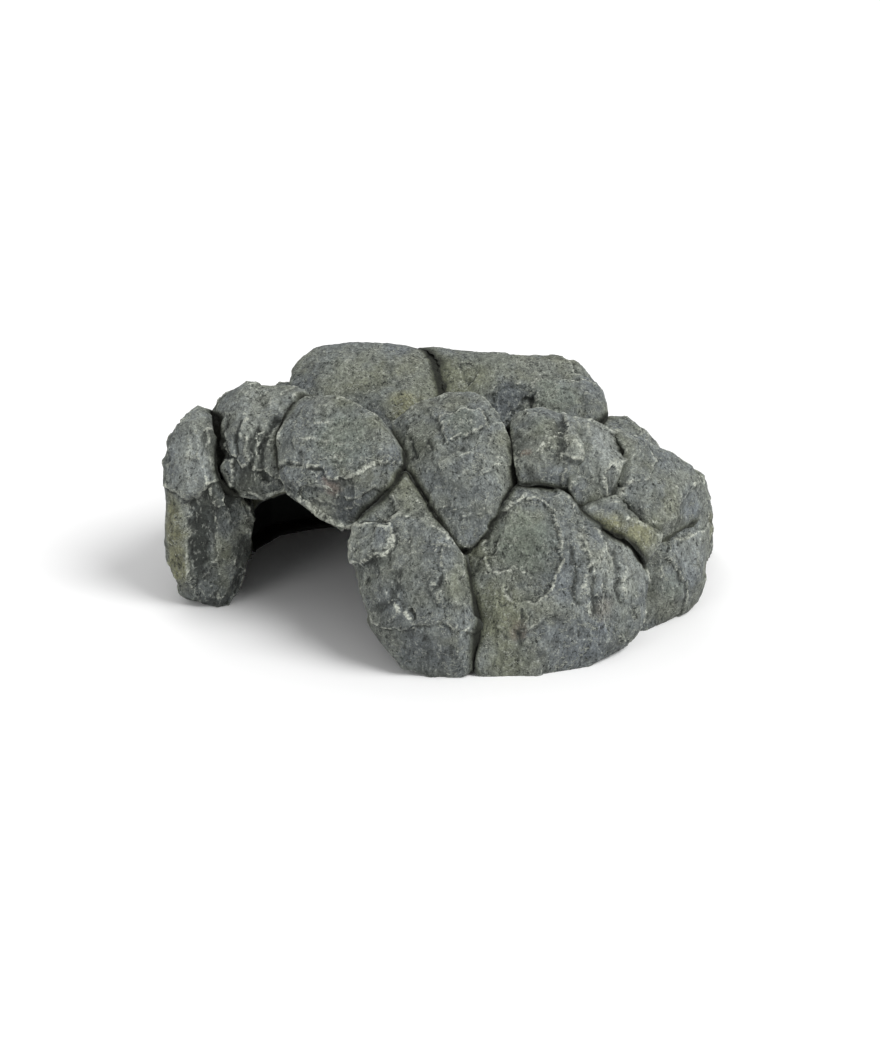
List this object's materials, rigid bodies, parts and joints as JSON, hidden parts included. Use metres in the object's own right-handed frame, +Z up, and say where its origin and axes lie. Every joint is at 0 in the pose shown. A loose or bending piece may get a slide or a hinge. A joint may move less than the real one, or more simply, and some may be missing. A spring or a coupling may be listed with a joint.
{
  "type": "resin cave ornament",
  "caption": "Hollow cave of sculpted grey boulders with an arched doorway at one front corner, an open base and a flat rim to stand on.",
  "frame": {"origin": "centre of the footprint's bounding box, on the surface the cave stands on", "axes": "+X to the right along the cave's length, +Y to its back, +Z up; the doorway is at the front left corner"},
  "size_m": [0.271, 0.1964, 0.1137],
  "materials": {
    "painted_rock": "matte hand-painted stone effect",
    "inner_coat": "smooth dark coat"
  },
  "bodies": {
    "root": {"kite_stone": "painted_rock", "keystone": "painted_rock", "front_left_stone": "painted_rock", "front_stone": "painted_rock", "shoulder_stone": "painted_rock", "left_pillar": "painted_rock", "upper_right_stone": "painted_rock", "upper_far_stone": "painted_rock", "right_ledge_stone": "painted_rock", "right_foot_stone": "painted_rock", "wedge_stone": "painted_rock", "top_left_stone": "painted_rock", "top_right_stone": "painted_rock", "back_right_stone": "painted_rock", "far_right_stone": "painted_rock", "rear_right_stone": "painted_rock", "rear_boulder": "painted_rock", "rear_teardrop": "painted_rock", "rear_left_stone": "painted_rock", "left_corner_stone": "painted_rock", "left_side_stone": "painted_rock", "left_crown_stone": "painted_rock", "rear_left_crown": "painted_rock", "rear_crown": "painted_rock", "rear_right_crown": "painted_rock", "right_crown_stone": "painted_rock", "core_wall": "inner_coat", "base_rim": "inner_coat"}
  },
  "joints": []
}
